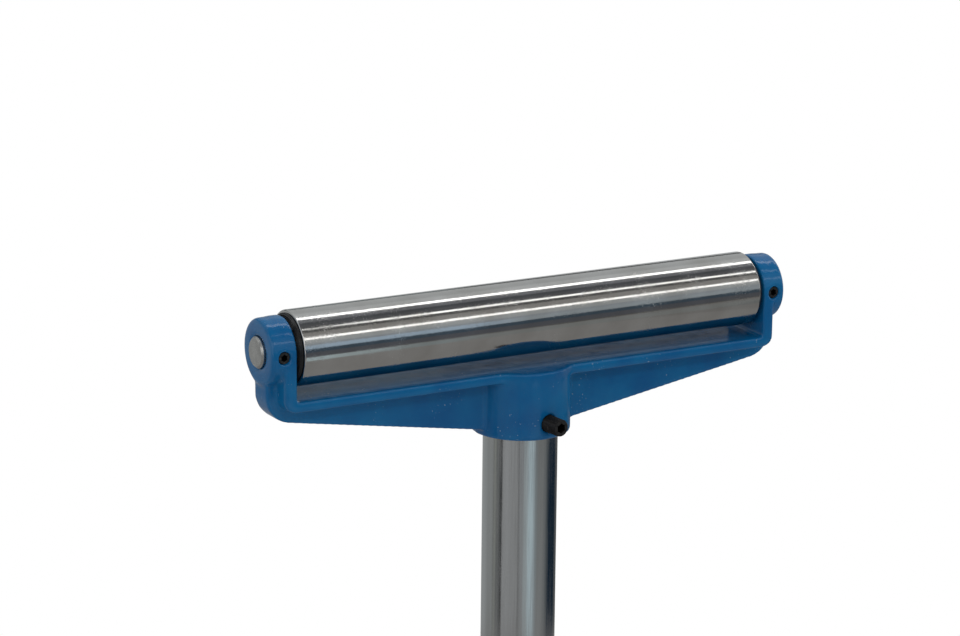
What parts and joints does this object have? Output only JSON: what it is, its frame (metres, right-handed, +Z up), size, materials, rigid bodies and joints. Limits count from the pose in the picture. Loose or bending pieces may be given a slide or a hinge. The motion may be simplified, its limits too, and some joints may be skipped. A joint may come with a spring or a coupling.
{
  "type": "roller stand",
  "caption": "Pedestal roller stand: a steel roller on a fixed axle in a cast yoke, which swivels on a column that slides and clamps in a three-legged base.",
  "frame": {"origin": "on the floor, under the column's axis", "axes": "+Z up along the column; X along the roller at rest; -Y the side with the set screws"},
  "size_m": [0.47, 0.4089, 0.808],
  "materials": {
    "blue_enamel": "gloss blue enamel over a sand-cast surface",
    "black_steel": "black oxide",
    "black_plastic": "matte black",
    "cap_rubber": "satin black",
    "bush_nylon": "matte black",
    "brass": "turned",
    "column_steel": "hard chrome, polished",
    "roller_steel": "ground and polished",
    "axle_steel": "bright drawn",
    "seal_rubber": "matte black",
    "spring_steel": "phosphated",
    "bearing_steel": "ground"
  },
  "bodies": {
    "base": {"base_casting": "blue_enamel", "sleeve_tube": "blue_enamel", "sleeve_grub_screws": "black_steel", "clamp_collar": "blue_enamel", "upper_guide_bush": "bush_nylon", "lower_guide_bush": "bush_nylon"},
    "column": {"column_tube": "column_steel", "column_stop_ring": "spring_steel"},
    "yoke": {"yoke": "blue_enamel", "axle": "axle_steel", "left_axle_screw": "black_steel", "right_axle_screw": "black_steel", "left_spacer": "axle_steel", "right_spacer": "axle_steel", "left_bearing_inner_ring": "bearing_steel", "right_bearing_inner_ring": "bearing_steel"},
    "yoke_lock": {"yoke_lock_screw": "black_steel"},
    "roller": {"roller_tube": "roller_steel", "left_bearing_outer_ring": "bearing_steel", "right_bearing_outer_ring": "bearing_steel", "left_bearing_seal": "seal_rubber", "right_bearing_seal": "seal_rubber", "left_retaining_ring": "spring_steel", "right_retaining_ring": "spring_steel", "left_dust_cap": "cap_rubber", "right_dust_cap": "cap_rubber"},
    "bearing_cages": {"left_bearing_cage": "brass", "right_bearing_cage": "brass", "left_bearing_balls": "bearing_steel", "right_bearing_balls": "bearing_steel"},
    "clamp_pad": {"clamp_pad": "brass"},
    "clamp_screw": {"clamp_stud": "black_steel", "clamp_knob": "black_plastic"}
  },
  "joints": [
    {"name": "column_slide", "type": "slide", "parent": "base", "child": "column", "axis": [0, 0, 1], "range_m": [-0.2, 0.12]},
    {"name": "yoke_swivel", "type": "hinge", "parent": "column", "child": "yoke", "pos_m": [0, 0, 0.689], "axis": [0, 0, 1], "continuous": true},
    {"name": "yoke_lock_slide", "type": "slide", "parent": "yoke", "child": "yoke_lock", "axis": [0.1045, -0.9945, 0], "range_m": [0, 0.006]},
    {"name": "roller_spin", "type": "hinge", "parent": "yoke", "child": "roller", "pos_m": [0, 0, 0.778], "axis": [1, 0, 0], "continuous": true},
    {"name": "bearing_cage_spin", "type": "hinge", "parent": "yoke", "child": "bearing_cages", "pos_m": [0, 0, 0.778], "axis": [1, 0, 0], "continuous": true},
    {"name": "clamp_pad_slide", "type": "slide", "parent": "base", "child": "clamp_pad", "axis": [1, 0, 0], "range_m": [0, 0.00262]},
    {"name": "clamp_turn", "type": "hinge", "parent": "clamp_pad", "child": "clamp_screw", "pos_m": [0.05, 0, 0.448], "axis": [1, 0, 0], "range_deg": [0, 540]}
  ],
  "couplings": [
    {"joint": "bearing_cage_spin", "follows": "roller_spin", "ratio": 0.6026},
    {"joint": "clamp_turn", "follows": "clamp_pad_slide", "rad_per_m": 3590.4}
  ]
}
